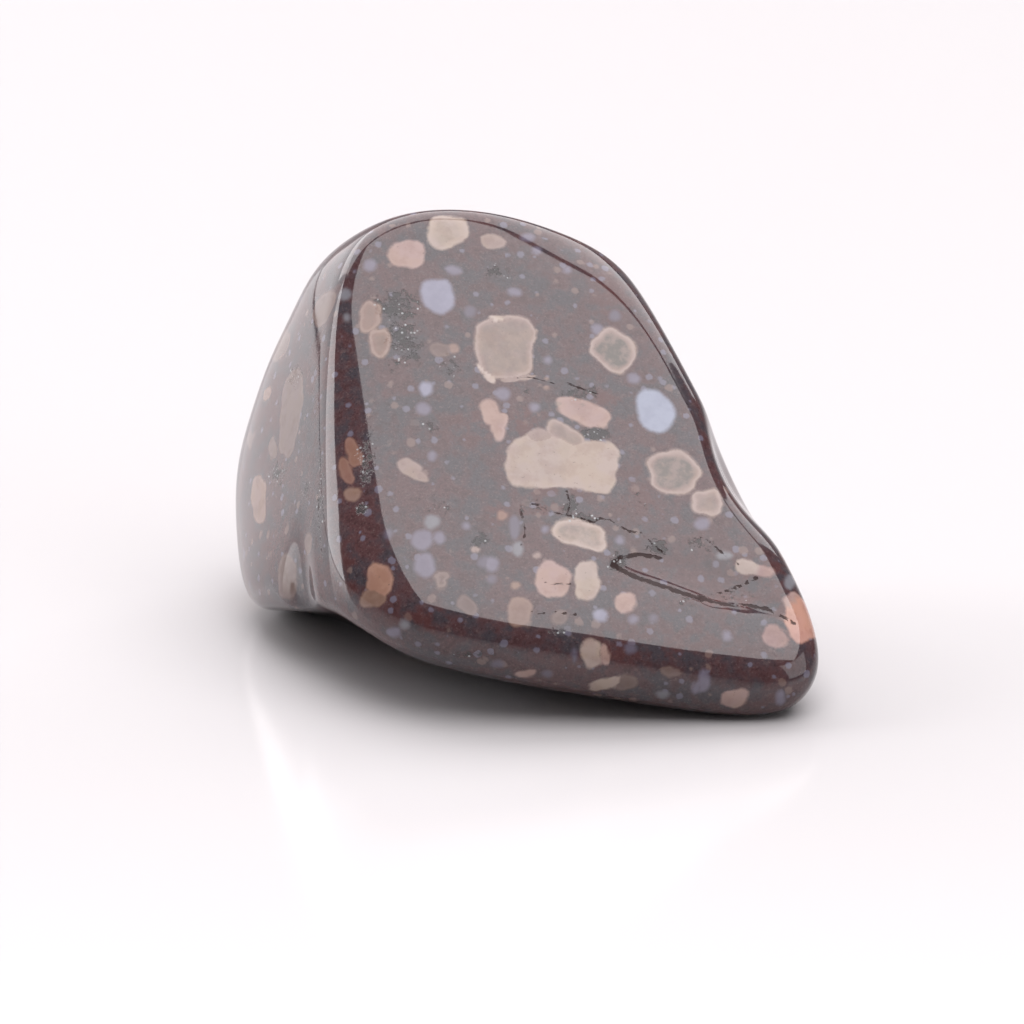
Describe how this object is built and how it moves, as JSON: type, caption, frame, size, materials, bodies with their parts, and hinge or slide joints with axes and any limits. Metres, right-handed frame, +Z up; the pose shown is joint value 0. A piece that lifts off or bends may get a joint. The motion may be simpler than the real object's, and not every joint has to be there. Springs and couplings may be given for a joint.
{
  "type": "tumbled porphyry stone",
  "caption": "Polished, tumbled stone shard with one large sloping face, a hollowed left side and a tapering tip, resting on a flat spot.",
  "frame": {"origin": "middle of the stone's outer box, on the surface it rests on", "axes": "+X along the longest side, towards the tip; +Y away from the large sloping face; +Z up as it rests"},
  "size_m": [0.0399, 0.0311, 0.0284],
  "materials": {
    "porphyry": "tumbled and polished, brown-grey ground with pink feldspar and pale blue quartz grains"
  },
  "bodies": {
    "root": {"stone": "porphyry"}
  },
  "joints": []
}
